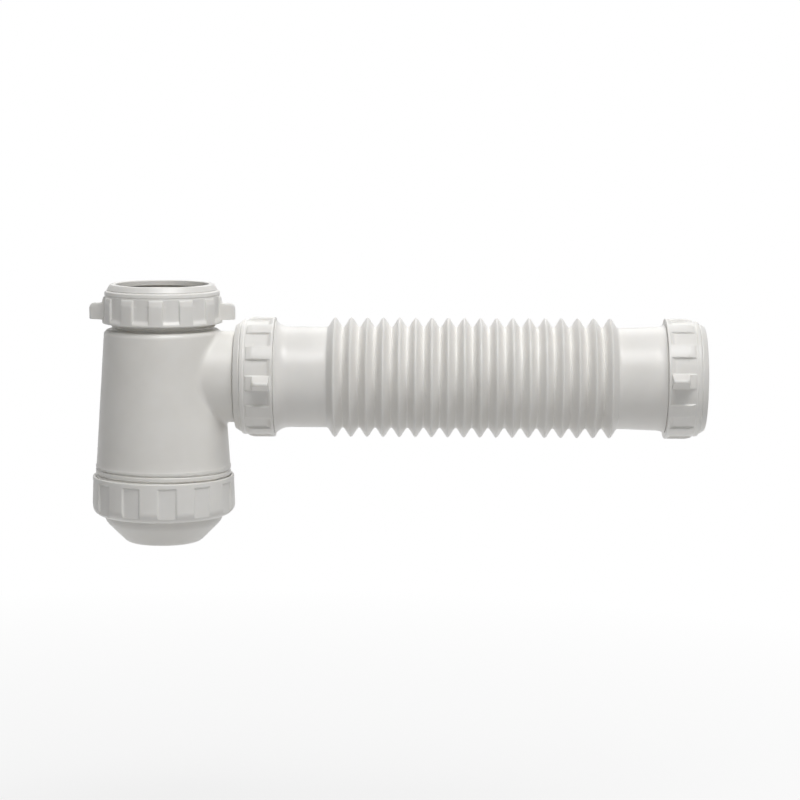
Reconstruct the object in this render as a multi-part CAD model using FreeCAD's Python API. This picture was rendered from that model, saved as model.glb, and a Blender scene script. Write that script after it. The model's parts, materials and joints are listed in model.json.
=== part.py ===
import FreeCAD, Part
import math
import os

# A bottle trap for a sink, with a corrugated pipe to the wall. Millimetres, +Z up, +X towards the pipe.
# The origin is the middle of the stop in the inlet socket, where the end of the waste pipe rests.

Vector = FreeCAD.Vector
X = Vector(1, 0, 0)
Y = Vector(0, 1, 0)
Z = Vector(0, 0, 1)

# The standard 40 mm waste pipe, and the sockets that take it
waste_pipe_r = 20.0         # outer radius of the pipe that each socket takes
socket_gap = 0.4            # radial room between a waste pipe and its socket
socket_wall = 3.4           # from the bore of a socket to the crest of its thread
mouth_flare = 2.0           # how much wider a socket is at its mouth, where the seal lies
mouth_depth = 4.5
thread_gap = 0.1            # radial room between a male thread and its nut

# Compression nuts: inlet, coupling and outlet are alike
nut_wall = 3.1              # from the bore of a nut to its full radius
nut_length = 17.8
nut_hole_gap = 0.9          # radial room between a waste pipe and the hole of a nut
nut_face_width = 2.4
nut_shoulder_inset = 1.6    # how much narrower the barrel is where its rounded end begins
nut_shoulder_length = 2.4
nut_taper_length = 7.6      # from the end face to the full radius
nut_end_wall = 2.4

# Finger recesses round a nut, and the two wings
recess_count = 12
recess_angle = 15.0         # degrees
recess_depth = 1.1
recess_shoulder_margin = 5.4
recess_rim_margin = 1.8
wing_length = 5.9           # how far a wing stands out of the barrel
wing_width = 7.5            # along the axis of the nut
wing_root_thickness = 6.4
wing_tip_thickness = 2.6
wing_rim_margin = 1.3
wing_corner_r = 2.4
inlet_nut_turn = 9.5        # degrees, from the pipe's direction round to a wing

# Slip ring and cone seal in a compression joint
seat_gap = 0.1              # between pieces that lie face to face
slip_ring_thickness = 1.5
slip_ring_gap = 0.3         # radial room outside and inside a slip ring
seal_proud = 1.2            # how far a cone seal stands out of the socket's mouth
seal_inner_gap = 0.25
seal_toe_width = 0.4
seal_seat_gap = 0.3         # between the tapered faces of a seal and its seat

# Bottle
neck_gap = 1.5              # from the rim of the inlet nut to the bottle's shoulder
shoulder_width = 2.5        # from the thread on the neck out to the bottle's wall
bottle_flare = 3.9          # how much wider the bottle is at its base
bottle_length = 62.0        # tapered length, from the shoulder to the base thread
bottle_wall = 2.4
bottle_edge_r = 2.0
stop_drop = 2.7             # from the shoulder down to the stop in the inlet socket
stop_thickness = 1.7
stop_width = 2.2

# Side outlet of the bottle
outlet_clearance = 1.4      # from a wing of the inlet nut down to the face of the coupling nut
boss_step = 0.6             # how much wider the boss is than the spigot
boss_stand = 2.7            # how far the boss reaches past the bottle's widest part
spigot_length = 21.1
spigot_wall = 2.4
coupling_gap = 0.4          # from the end of the boss to the face of the coupling nut

# Dip tube
dip_head_gap = 0.05         # radial room between the tube's head and the skirt that holds it
dip_head_length = 9.0
dip_cone_length = 5.0
dip_tube_inset = 1.5        # how much narrower the tube is than the waste pipe
dip_tube_wall = 1.8
dip_end_gap = 9.4           # from the tube's end to the bottom of the cup
skirt_wall = 1.8

# Base of the bottle, with its nut, gasket and cup
base_thread_height = 0.3    # how far the thread stands out of the bottle's wall
base_thread_length = 13.2
base_nut_wall = 1.8         # from the bore of the base nut to its full radius
base_nut_end_wall = 5.3
base_nut_rim_drop = 4.7     # from the top of the base thread to the rim of the nut
base_nut_taper = 0.5        # how much narrower the barrel is at its rim
base_nut_face_width = 0.4
base_recess_depth = 1.0
base_recess_length = 14.0   # runs out in the rounded lower edge
base_recess_rim_margin = 2.2
base_recess_turn = 9.0      # degrees
gasket_thickness = 1.8
gasket_width = 2.4
gasket_gap = 0.3            # radial room between the gasket and the nut round it
cup_flange_thickness = 2.0
cup_flange_width = 3.5      # from the bowl's outside to the edge of its flange
cup_wall = 2.2
cup_depth = 17.8            # from the underside of the flange to the outside of the bottom
cup_upper_round_r = 6.0
cup_lower_round_r = 4.0
cup_slope = 45.0            # degrees, of the cone between the two rounds
cup_bottom_inset = 11.8     # from the bowl's side in to the edge of its flat bottom
cup_hole_gap = 0.2

# Corrugated pipe
pipe_end_step = 1.1         # from the crest of a socket's thread down to the plain pipe
far_end_step = 0.5          # the same behind the outlet nut, where the plain pipe is wider
pipe_wall = 1.6
collar_gap = 0.3            # between the rim of a nut and the collar of the pipe
collar_height = 1.8         # collar behind the coupling nut, above the crest of the thread
collar_length = 3.8
far_collar_height = 0.6     # collar behind the outlet nut
far_collar_length = 2.6
near_plain_length = 19.1    # from the collar to the first fold
far_plain_length = 18.1
spigot_end_gap = 1.0        # from the end of the spigot to the end of the narrow socket round it
fold_count = 18
fold_pitch = 7.265
fold_height = 4.3
fold_wall = 1.2
fold_inner_sides = 24       # the folds inside the wall are drawn with this many flats

# Radii that follow from the sizes above
socket_r = waste_pipe_r + socket_gap
mouth_r = socket_r + mouth_flare
thread_r = socket_r + socket_wall
nut_bore_r = thread_r + thread_gap
nut_r = nut_bore_r + nut_wall
nut_hole_r = waste_pipe_r + nut_hole_gap
nut_face_r = nut_hole_r + nut_face_width
nut_shoulder_r = nut_r - nut_shoulder_inset
wing_tip_r = nut_r + wing_length
bottle_top_r = thread_r + shoulder_width
bottle_base_r = bottle_top_r + bottle_flare
base_thread_r = bottle_base_r + base_thread_height
base_nut_bore_r = base_thread_r + thread_gap
base_nut_r = base_nut_bore_r + base_nut_wall
gasket_outer_r = base_nut_bore_r - gasket_gap
cup_r = gasket_outer_r - cup_flange_width
boss_r = waste_pipe_r + boss_step
dip_tube_r = waste_pipe_r - dip_tube_inset
pipe_end_r = thread_r - pipe_end_step
fold_crest_r = pipe_end_r + fold_height
collar_r = thread_r + collar_height
far_collar_r = thread_r + far_collar_height
far_end_r = thread_r - far_end_step

# Depths below the end face of a nut
ring_top = nut_end_wall + seat_gap
seal_top = ring_top + slip_ring_thickness + seat_gap
mouth_drop = seal_top + seal_proud

# Heights
nut_face_z = nut_length + neck_gap + stop_drop
mouth_z = nut_face_z - mouth_drop
shoulder_z = stop_drop
outlet_z = nut_face_z - nut_length + wing_rim_margin - outlet_clearance - nut_face_r
base_thread_top_z = shoulder_z - bottle_length
base_rim_z = base_thread_top_z - base_thread_length
base_nut_rim_z = base_thread_top_z - base_nut_rim_drop
gasket_top_z = base_rim_z - seat_gap
flange_top_z = gasket_top_z - gasket_thickness - seat_gap
flange_bottom_z = flange_top_z - cup_flange_thickness
base_nut_seat_z = flange_bottom_z - seat_gap
base_nut_face_z = base_nut_seat_z - base_nut_end_wall
cup_bottom_z = flange_bottom_z - cup_depth

# Places along the pipe
boss_reach = bottle_base_r + boss_stand
spigot_reach = boss_reach + spigot_length
coupling_reach = boss_reach + coupling_gap
near_mouth_x = coupling_reach + mouth_drop
near_collar_x = coupling_reach + nut_length + collar_gap
folds_start_x = near_collar_x + collar_length + near_plain_length
folds_end_x = folds_start_x + fold_count * fold_pitch
far_collar_x = folds_end_x + far_plain_length + far_collar_length
outlet_face_x = far_collar_x + collar_gap + nut_length
far_mouth_x = outlet_face_x - mouth_drop


def lathe(points):
    """A solid of revolution about Z from its half outline, given as (radius, height) points."""
    corners = [Vector(r, 0, z) for r, z in points]
    outline = Part.makePolygon(corners + corners[:1])
    return Part.Face(outline).revolve(Vector(), Z, 360)


def lathe_edges(edges):
    """A solid of revolution about Z from the edges of its half outline, in order."""
    return Part.Face(Part.Wire(edges)).revolve(Vector(), Z, 360)


def line(a, b):
    """A straight edge of a half outline, between two (radius, height) points."""
    return Part.LineSegment(Vector(a[0], 0, a[1]), Vector(b[0], 0, b[1])).toShape()


def arc(a, centre, radius, degrees, b):
    """A round edge of a half outline from a to b, passing the point at this angle round its centre."""
    turn = math.radians(degrees)
    middle = Vector(centre[0] + radius * math.cos(turn), 0, centre[1] + radius * math.sin(turn))
    return Part.Arc(Vector(a[0], 0, a[1]), middle, Vector(b[0], 0, b[1])).toShape()


def along_x(shape, x, outward):
    """A shape made round Z, laid on the pipe's axis with its top at x and facing +X or -X."""
    laid = shape.copy()
    laid.rotate(Vector(), Y, 90 * outward)
    laid.translate(Vector(x, 0, outlet_z))
    return laid


def raised(shape, z):
    """A copy of a shape, moved up by z."""
    moved = shape.copy()
    moved.translate(Vector(0, 0, z))
    return moved


def disc(radius, bottom, top):
    """A plain solid cylinder about Z."""
    return Part.makeCylinder(radius, top - bottom, Vector(0, 0, bottom))


def tube(outer_r, inner_r, bottom, top):
    """A plain ring about Z."""
    return lathe([(inner_r, bottom), (outer_r, bottom), (outer_r, top), (inner_r, top)])


def recess_cutters(outer_r, depth, bottom, top, turn):
    """The finger recesses of a nut, as ring sectors to be cut from its barrel."""
    step = 360 / recess_count
    profile = Part.makePolygon([
        Vector(outer_r - depth, 0, bottom),
        Vector(outer_r + depth, 0, bottom),
        Vector(outer_r + depth, 0, top),
        Vector(outer_r - depth, 0, top),
        Vector(outer_r - depth, 0, bottom),
    ])
    sector = Part.Face(profile).revolve(Vector(), Z, recess_angle)
    sector.rotate(Vector(), Z, turn - recess_angle / 2)
    cutters = []
    for i in range(recess_count):
        cutter = sector.copy()
        cutter.rotate(Vector(), Z, i * step)
        cutters.append(cutter)
    return cutters


def wing_wedge(inner, low, high):
    """The space that a wing narrows in, from its root at the barrel to its tip."""
    root = wing_root_thickness / 2
    tip = wing_tip_thickness / 2
    half = [(inner, root), (nut_r, root), (wing_tip_r, tip)]
    corners = half + [(r, -y) for r, y in reversed(half)]
    outline = [Vector(r, y, low) for r, y in corners + corners[:1]]
    return Part.Face(Part.makePolygon(outline)).extrude(Z * (high - low))


def wing(side):
    """One wing of a nut, a tab that narrows to its rounded tip, on the side +1 or -1 along X."""
    low = -nut_length + wing_rim_margin
    high = low + wing_width
    inner = nut_r - recess_depth
    corner = wing_tip_r - wing_corner_r
    centre = (corner, high - wing_corner_r)
    edges = [
        line((inner, low), (wing_tip_r, low)),
        line((wing_tip_r, low), (wing_tip_r, centre[1])),
        arc((wing_tip_r, centre[1]), centre, wing_corner_r, 45, (corner, high)),
        line((corner, high), (inner, high)),
        line((inner, high), (inner, low)),
    ]
    tab = Part.Face(Part.Wire(edges)).extrude(Y * wing_root_thickness)
    tab.translate(Y * (-wing_root_thickness / 2))
    tab = tab.common(wing_wedge(inner, low, high))
    if side < 0:
        tab.rotate(Vector(), Z, 180)
    return tab


def compression_nut():
    """A ribbed nut with two wings. Its end face is at height 0 and its open rim below."""
    rim = -nut_length
    barrel = lathe([
        (nut_hole_r, 0),
        (nut_face_r, 0),
        (nut_shoulder_r, -nut_shoulder_length),
        (nut_r, -nut_taper_length),
        (nut_r, rim),
        (nut_bore_r, rim),
        (nut_bore_r, -nut_end_wall),
        (nut_hole_r, -nut_end_wall),
    ])
    half_step = 180 / recess_count
    cutters = recess_cutters(nut_r, recess_depth, rim + recess_rim_margin, -recess_shoulder_margin, half_step)
    ribbed = barrel.cut(cutters)
    return ribbed.fuse([wing(1), wing(-1)]).removeSplitter()


def slip_ring():
    """The thin ring under the end wall of a nut, at its place below the end face."""
    top = -ring_top
    return tube(nut_bore_r - slip_ring_gap, waste_pipe_r + slip_ring_gap, top - slip_ring_thickness, top)


def cone_seal():
    """The tapered seal below a slip ring. Its cone lies in the mouth of the socket."""
    top = -seal_top
    lip = top - seal_proud + seal_seat_gap
    inner_r = waste_pipe_r + seal_inner_gap
    collar_edge_r = nut_bore_r - slip_ring_gap
    cone_r = mouth_r - seal_seat_gap
    toe_r = inner_r + seal_toe_width
    toe_drop = (cone_r - toe_r) * mouth_depth / (mouth_r - socket_r)
    toe = top - seal_proud - toe_drop
    return lathe([
        (inner_r, top),
        (collar_edge_r, top),
        (collar_edge_r, lip),
        (cone_r, lip),
        (cone_r, top - seal_proud),
        (toe_r, toe),
        (inner_r, toe),
    ])


def dip_tube():
    """The tube that leads the waste down below the water, held by its wider head."""
    head_top = -stop_thickness - seat_gap
    head_r = socket_r - dip_head_gap
    cone_top = head_top - dip_head_length
    cone_end = cone_top - dip_cone_length
    end = cup_bottom_z + cup_wall + dip_end_gap
    return lathe([
        (head_r - dip_tube_wall, head_top),
        (head_r, head_top),
        (head_r, cone_top),
        (dip_tube_r, cone_end),
        (dip_tube_r, end),
        (dip_tube_r - dip_tube_wall, end),
        (dip_tube_r - dip_tube_wall, cone_end),
        (head_r - dip_tube_wall, cone_top),
    ])


def bottle_shell():
    """The bottle without its side outlet: neck, shoulder, tapered wall, base thread and inner skirt."""
    skirt_end = -stop_thickness - dip_head_length
    roof_z = shoulder_z - bottle_wall
    rounding = (bottle_top_r - bottle_edge_r, shoulder_z - bottle_edge_r)
    outer_start = (bottle_top_r, rounding[1])
    inner_base_r = base_thread_r - bottle_wall
    edges = [
        line((socket_r, 0), (socket_r, mouth_z - mouth_depth)),
        line((socket_r, mouth_z - mouth_depth), (mouth_r, mouth_z)),
        line((mouth_r, mouth_z), (thread_r, mouth_z)),
        line((thread_r, mouth_z), (thread_r, shoulder_z)),
        line((thread_r, shoulder_z), (rounding[0], shoulder_z)),
        arc((rounding[0], shoulder_z), rounding, bottle_edge_r, 45, outer_start),
        line(outer_start, (bottle_base_r, base_thread_top_z)),
        line((bottle_base_r, base_thread_top_z), (base_thread_r, base_thread_top_z)),
        line((base_thread_r, base_thread_top_z), (base_thread_r, base_rim_z)),
        line((base_thread_r, base_rim_z), (inner_base_r, base_rim_z)),
        line((inner_base_r, base_rim_z), (bottle_top_r - bottle_wall, roof_z)),
        line((bottle_top_r - bottle_wall, roof_z), (socket_r + skirt_wall, roof_z)),
        line((socket_r + skirt_wall, roof_z), (socket_r + skirt_wall, skirt_end)),
        line((socket_r + skirt_wall, skirt_end), (socket_r, skirt_end)),
        line((socket_r, skirt_end), (socket_r, -stop_thickness)),
        line((socket_r, -stop_thickness), (socket_r - stop_width, -stop_thickness)),
        line((socket_r - stop_width, -stop_thickness), (socket_r - stop_width, 0)),
        line((socket_r - stop_width, 0), (socket_r, 0)),
    ]
    return lathe_edges(edges)


def bottle_space():
    """The room inside the bottle, from the open base up through the neck."""
    roof_z = shoulder_z - bottle_wall
    return lathe([
        (0, base_rim_z),
        (base_thread_r - bottle_wall, base_rim_z),
        (bottle_top_r - bottle_wall, roof_z),
        (socket_r, roof_z),
        (socket_r, mouth_z),
        (0, mouth_z),
    ])


def outlet_bore():
    """The passage from the bottle into the spigot, kept clear of the skirt round the dip tube."""
    passage = along_x(disc(waste_pipe_r - spigot_wall, -spigot_reach, 0), spigot_reach, 1)
    return passage.cut(disc(socket_r + skirt_wall, outlet_z - boss_r, shoulder_z))


def trap_body():
    """The bottle with its side boss and the spigot that the pipe's socket takes."""
    boss = along_x(disc(boss_r, -boss_reach, 0), boss_reach, 1).cut(bottle_space())
    spigot = along_x(disc(waste_pipe_r, boss_reach - spigot_reach, 0), spigot_reach, 1)
    return bottle_shell().fuse([boss, spigot]).cut(outlet_bore()).removeSplitter()


def base_gasket():
    """The flat ring that the rim of the bottle presses on."""
    inner_r = gasket_outer_r - gasket_width
    return tube(gasket_outer_r, inner_r, gasket_top_z - gasket_thickness, gasket_top_z)


def cup_outline(inset):
    """Edges of the bowl's outside from its flange down to the middle of its bottom, moved in by inset."""
    radius = cup_r - inset
    bottom = cup_bottom_z + inset
    upper_r = cup_upper_round_r - inset
    lower_r = cup_lower_round_r - inset
    slope = math.radians(cup_slope)
    lower = (cup_r - cup_bottom_inset, bottom + lower_r)
    lower_end = (lower[0] + lower_r * math.sin(slope), lower[1] - lower_r * math.cos(slope))
    upper_x = radius - upper_r
    upper_start_r = upper_x + upper_r * math.cos(slope)
    upper_start_z = lower_end[1] + (upper_start_r - lower_end[0]) * math.tan(slope)
    upper = (upper_x, upper_start_z + upper_r * math.sin(slope))
    return [
        line((radius, flange_bottom_z), (radius, upper[1])),
        arc((radius, upper[1]), upper, upper_r, -cup_slope / 2, (upper_start_r, upper_start_z)),
        line((upper_start_r, upper_start_z), lower_end),
        arc(lower_end, lower, lower_r, -(90 + cup_slope) / 2, (lower[0], bottom)),
        line((lower[0], bottom), (0, bottom)),
    ]


def base_cup():
    """The bowl that unscrews for cleaning, with the flange that the base nut lifts."""
    outer = cup_outline(0)
    top = line((0, flange_bottom_z), (cup_r, flange_bottom_z))
    axis = line((0, cup_bottom_z), (0, flange_bottom_z))
    bowl = lathe_edges([top] + outer + [axis])
    inner = cup_outline(cup_wall)
    inner_top = line((0, flange_bottom_z), (cup_r - cup_wall, flange_bottom_z))
    inner_axis = line((0, cup_bottom_z + cup_wall), (0, flange_bottom_z))
    hollow = lathe_edges([inner_top] + inner + [inner_axis])
    flange = tube(gasket_outer_r, cup_r - cup_wall, flange_bottom_z, flange_top_z)
    return bowl.cut(hollow).fuse(flange).removeSplitter()


def base_nut():
    """The large ribbed nut round the base. Its rounded end wall carries the flange of the cup."""
    hole_r = cup_r + cup_hole_gap
    rim_r = base_nut_r - base_nut_taper
    rounding = base_nut_r - hole_r - base_nut_face_width
    centre = (base_nut_r - rounding, base_nut_face_z + rounding)
    barrel = lathe_edges([
        line((hole_r, base_nut_face_z), (centre[0], base_nut_face_z)),
        arc((centre[0], base_nut_face_z), centre, rounding, -45, (base_nut_r, centre[1])),
        line((base_nut_r, centre[1]), (rim_r, base_nut_rim_z)),
        line((rim_r, base_nut_rim_z), (base_nut_bore_r, base_nut_rim_z)),
        line((base_nut_bore_r, base_nut_rim_z), (base_nut_bore_r, base_nut_seat_z)),
        line((base_nut_bore_r, base_nut_seat_z), (hole_r, base_nut_seat_z)),
        line((hole_r, base_nut_seat_z), (hole_r, base_nut_face_z)),
    ])
    high = base_nut_rim_z - base_recess_rim_margin
    cutters = recess_cutters(base_nut_r, base_recess_depth, high - base_recess_length, high, base_recess_turn)
    return barrel.cut(cutters).removeSplitter()


def zigzag(root_r, crest_r):
    """The folds of the pipe as (radius, distance) points, from the first root to the last."""
    points = [(root_r, folds_start_x)]
    for i in range(fold_count):
        start = folds_start_x + i * fold_pitch
        points.append((crest_r, start + fold_pitch / 2))
        points.append((root_r, start + fold_pitch))
    return points


def collar_arc(radius, pipe_r, x, length, towards):
    """The hollow flare from a collar at x down to the plain pipe, which lies the way of towards."""
    rise = radius - pipe_r
    curve_r = (rise * rise + length * length) / (2 * rise)
    foot = (pipe_r, x + towards * length)
    centre = (pipe_r + curve_r, foot[1])
    half_turn = math.degrees(math.atan2(length, curve_r - rise)) / 2
    return arc((radius, x), centre, curve_r, 180 + towards * half_turn, foot)


def pipe_outside():
    """The solid outside of the pipe, from mouth to mouth, standing on end."""
    folds = zigzag(pipe_end_r, fold_crest_r)
    near_foot = (pipe_end_r, near_collar_x + collar_length)
    far_foot = (far_end_r, far_collar_x - far_collar_length)
    corners = [near_foot] + folds + [far_foot]
    edges = [
        line((0, near_mouth_x), (thread_r, near_mouth_x)),
        line((thread_r, near_mouth_x), (thread_r, near_collar_x)),
        line((thread_r, near_collar_x), (collar_r, near_collar_x)),
        collar_arc(collar_r, pipe_end_r, near_collar_x, collar_length, 1),
    ]
    edges += [line(a, b) for a, b in zip(corners, corners[1:])]
    edges += [
        collar_arc(far_collar_r, far_end_r, far_collar_x, far_collar_length, -1),
        line((far_collar_r, far_collar_x), (thread_r, far_collar_x)),
        line((thread_r, far_collar_x), (thread_r, far_mouth_x)),
        line((thread_r, far_mouth_x), (0, far_mouth_x)),
        line((0, far_mouth_x), (0, near_mouth_x)),
    ]
    return lathe_edges(edges)


def socket_space(length):
    """The room inside one end of the pipe, with the seat for its seal, from its mouth at height 0 down."""
    socket_end = near_mouth_x - spigot_reach - spigot_end_gap
    inside_r = pipe_end_r - pipe_wall
    return lathe([
        (0, 0),
        (mouth_r, 0),
        (socket_r, -mouth_depth),
        (socket_r, socket_end),
        (inside_r, socket_end),
        (inside_r, -length),
        (0, -length),
    ])


def flat_ring(radius, height):
    """The corners of a level polygon about Z."""
    turns = [2 * math.pi * i / fold_inner_sides for i in range(fold_inner_sides)]
    return [Vector(radius * math.cos(t), radius * math.sin(t), height) for t in turns]


def flat_face(corners):
    """A flat face through these corners."""
    return Part.Face(Part.makePolygon(corners + corners[:1]))


def folds_space():
    """The room inside the folds, flat-sided, which follows the outside at one wall's thickness."""
    half_pitch = fold_pitch / 2
    slant = math.hypot(half_pitch, fold_crest_r - pipe_end_r)
    inset = fold_wall * slant / half_pitch
    rings = [flat_ring(r, x) for r, x in zigzag(pipe_end_r - inset, fold_crest_r - inset)]
    faces = [flat_face(rings[0]), flat_face(rings[-1])]
    for low, high in zip(rings, rings[1:]):
        for i in range(fold_inner_sides):
            faces.append(flat_face([low[i - 1], low[i], high[i], high[i - 1]]))
    shell = Part.makeShell(faces)
    shell.sewShape()
    return Part.makeSolid(shell)


def flexible_pipe():
    """The corrugated pipe with a threaded socket at each end, one hollow moulding along X."""
    near_end = socket_space(folds_start_x - near_mouth_x)
    near_end.rotate(Vector(), X, 180)
    near_end.translate(Z * near_mouth_x)
    far_end = raised(socket_space(far_mouth_x - folds_end_x), far_mouth_x)
    hollow = pipe_outside().cut([near_end, far_end, folds_space()])
    return along_x(hollow, 0, 1)


def save(name, shape):
    """Write one piece, after making sure that it is one closed solid."""
    if len(shape.Solids) != 1 or not shape.isValid():
        raise ValueError(name + " is not one valid solid")
    shape.Solids[0].exportStep("parts/" + name + ".step")


def main():
    """Build every piece and write it in its place."""
    os.makedirs("parts", exist_ok=True)
    nut = compression_nut()
    ring = slip_ring()
    seal = cone_seal()
    save("trap_body", trap_body())
    save("dip_tube", dip_tube())
    inlet_nut = raised(nut, nut_face_z)
    inlet_nut.rotate(Vector(), Z, inlet_nut_turn)
    save("inlet_nut", inlet_nut)
    save("inlet_slip_ring", raised(ring, nut_face_z))
    save("inlet_cone_seal", raised(seal, nut_face_z))
    save("base_nut", base_nut())
    save("base_cup", base_cup())
    save("base_gasket", base_gasket())
    save("flexible_pipe", flexible_pipe())
    nut.rotate(Vector(), Z, 90)
    for name, x, outward in (("coupling", coupling_reach, -1), ("outlet", outlet_face_x, 1)):
        save(name + "_nut", along_x(nut, x, outward))
        save(name + "_slip_ring", along_x(ring, x, outward))
        save(name + "_cone_seal", along_x(seal, x, outward))


main()
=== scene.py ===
import json
import math
from collections import namedtuple

import bmesh
import bpy
import numpy as np
from mathutils import Matrix, Vector


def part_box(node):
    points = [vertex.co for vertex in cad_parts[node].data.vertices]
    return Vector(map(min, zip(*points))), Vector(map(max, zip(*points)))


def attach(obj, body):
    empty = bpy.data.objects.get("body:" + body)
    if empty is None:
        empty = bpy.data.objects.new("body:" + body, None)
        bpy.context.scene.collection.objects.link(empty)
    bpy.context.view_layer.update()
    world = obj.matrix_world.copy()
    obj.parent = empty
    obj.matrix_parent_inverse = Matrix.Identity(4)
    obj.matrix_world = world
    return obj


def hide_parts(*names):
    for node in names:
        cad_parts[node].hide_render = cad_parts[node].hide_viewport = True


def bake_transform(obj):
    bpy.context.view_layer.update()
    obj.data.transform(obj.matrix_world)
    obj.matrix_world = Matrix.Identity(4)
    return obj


# The looks of a bottle trap with a corrugated pipe. Sizes are in millimetres until a mesh is made.
# Outlines are given by their corners, as (radius, place along the axis, rounding).

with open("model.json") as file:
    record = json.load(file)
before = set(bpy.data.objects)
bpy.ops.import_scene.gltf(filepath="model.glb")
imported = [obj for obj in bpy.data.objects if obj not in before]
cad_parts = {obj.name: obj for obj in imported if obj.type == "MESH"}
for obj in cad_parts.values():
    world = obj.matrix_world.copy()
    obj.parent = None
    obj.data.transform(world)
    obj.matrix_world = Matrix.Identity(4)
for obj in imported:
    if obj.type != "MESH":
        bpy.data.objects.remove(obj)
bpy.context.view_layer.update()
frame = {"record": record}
MM = 0.001
BODY_OF = {n: body for body, nodes in frame["record"]["behaviour"]["bodies"].items() for n in nodes}


def low(node):
    """Lowest corner of a node of the frame."""
    return np.array(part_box(node)[0]) / MM


def high(node):
    """Highest corner of a node of the frame."""
    return np.array(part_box(node)[1]) / MM


# Places, taken from the frame
PIPE_Z = (low("outlet_slip_ring")[2] + high("outlet_slip_ring")[2]) / 2
INLET_FACE_Z = high("inlet_nut")[2]
COUPLING_FACE_X = low("coupling_nut")[0]
OUTLET_FACE_X = high("outlet_nut")[0]
NUT_LENGTH = INLET_FACE_Z - low("inlet_nut")[2]
MOUTH_Z = high("trap_body")[2]
BASE_RIM_Z = low("trap_body")[2]
SPIGOT_END_X = high("trap_body")[0]
BASE_NUT_FACE_Z = low("base_nut")[2]
BASE_NUT_RIM_Z = high("base_nut")[2]
CUP_BOTTOM_Z = low("base_cup")[2]
CUP_TOP_Z = high("base_cup")[2]
TUBE_END_Z = low("dip_tube")[2]
TUBE_TOP_Z = high("dip_tube")[2]
GASKET_BOTTOM_Z = low("base_gasket")[2]
GASKET_TOP_Z = high("base_gasket")[2]

# Threads: crest, depth and pitch, the step between their rows, and the plain margin at the edge of the wall
THREAD_R = 23.8
THREAD_DEPTH = 1.2
THREAD_PITCH = 2.309
THREAD_ROW = 0.29
THREAD_MARGIN = 0.8
THREAD_PLAY = 0.1
RIDGE_STEEPNESS = 0.95
BASE_THREAD_R = 30.5
BASE_THREAD_DEPTH = 0.6
BASE_THREAD_PITCH = 2.7
BASE_THREAD_SHIFT = 0.95
BASE_THREAD_TOP_Z = -59.3
GROOVE_STEEPNESS = 1.6

# Compression nuts, from their end face down to their rim
NUT_R = 27.0
NUT_BORE_R = 23.9
NUT_HOLE_R = 20.9
NUT_FACE_R = 23.3
NUT_LIP_R = 24.8
NUT_LIP_DEPTH = 2.7
NUT_BEAD_R = 25.95
NUT_BEAD_DEPTH = 4.5
NUT_SHOULDER_R = 25.9
NUT_END_WALL = 2.4
NUT_THREAD_TOP = 6.2
NUT_ROW = 1.3
RIB_TOP = 5.6
RIB_CORNER_R = 26.45
RIB_TAPER = 8.0
RIB_TOP_STEPS = (-0.1, 0, 0.15, 0.35, 0.6, 1.1)
TOP_NUT_LIFT = 0.6
TOP_NUT_SHORTER = 0.4
OUTLET_NUT_TURN = 4.0

# Recesses between the ribs, in degrees round the nut and millimetres along it
RECESS_STEP = 30.0
RECESS_COUNT = int(360 / RECESS_STEP)
RECESS_WIDTH = 16.0
RECESS_FLOOR_R = 25.9
RECESS_RIM_MARGIN = 1.8
RECESS_SOFTNESS = 0.65
RECESS_RIM_SOFTNESS = 1.2
RECESS_EDGE_STEPS = (-1.2, -0.55, 0, 0.55, 1.2)
RECESS_RIM_STEPS = (-1, -0.5, 0, 0.5, 1)
FILL_STEPS = (-3, 0, 3)

# Wings of the nuts. Edges, tip and root are rows of (place, reach).
WING_LENGTH = 5.9
WING_WIDTH = 7.5
WING_RIM_MARGIN = 1.3
WING_CORNER_R = 2.4
WING_CORNER_TURNS = np.radians((90, 70, 50, 32, 16, 0))
WING_RIM_EDGE = ((-0.5, 0), (-0.15, 0.14), (0, 0.5), (0.12, 5.45), (0.3, 5.78), (0.7, WING_LENGTH))
WING_FAR_EDGE = ((0.08, 0.5), (0.3, 0.14), (0.7, 0))
WING_TIP = ((0.3, WING_LENGTH), (0.6, 5.76), (0.85, 5.5), (1.05, 5.14), (1.2, 4.7))
WING_ROOT = ((2.95, 0.45), (3.25, 0.13), (3.75, 0))
WING_FILL = (0.4, 2.0, 2.5)

# Sockets, bottle and spigot
SOCKET_R = 20.4
SOCKET_DEPTH = 16.4
MOUTH_R = 22.4
MOUTH_DEPTH = 4.5
LIP_R = THREAD_R - 0.3
LIP_LENGTH = 0.7
STOP_R = 18.2
STOP_THICKNESS = 1.7
SKIRT_R = 22.2
SKIRT_END_Z = -10.7
NECK_ROOT_R = THREAD_R - 0.9
BASE_ROOT_R = BASE_THREAD_R - 0.9
SHOULDER_Z = 2.2
BOTTLE_TOP_R = 26.3
BOTTLE_BASE_R = 30.2
BOTTLE_WALL = 2.4
BOTTLE_EDGE_R = 2.0
BOSS_R = 20.6
BOSS_END_X = 32.9
BOSS_BLEND = 1.8
BOSS_TOP_LIMIT = 21.0
SPIGOT_R = 20.0
SPIGOT_BORE_R = 17.6

# Blocks of the bottle's walls that the boss takes the place of, and their reach below its axis
BLOCK_COLUMNS = 50
BLOCK_ROWS = 40
OUTER_BLOCK_DROP = 24.5
INNER_BLOCK_DROP = 22.0

# Folds of the pipe
PIPE_R = 22.7
PIPE_INNER_R = 21.1
FOLD_COUNT = 18
FOLD_PITCH = 7.265
FOLD_CREST_R = 27.0
FOLD_INSET = 1.86
FOLD_ROWS = 14
FOLD_SHARPNESS = 0.82
FOLDS_START_X = 74.3
FOLDS_END_X = FOLDS_START_X + FOLD_COUNT * FOLD_PITCH
SPLIT_X = FOLDS_START_X + (FOLD_COUNT / 2 + 0.25) * FOLD_PITCH

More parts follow.
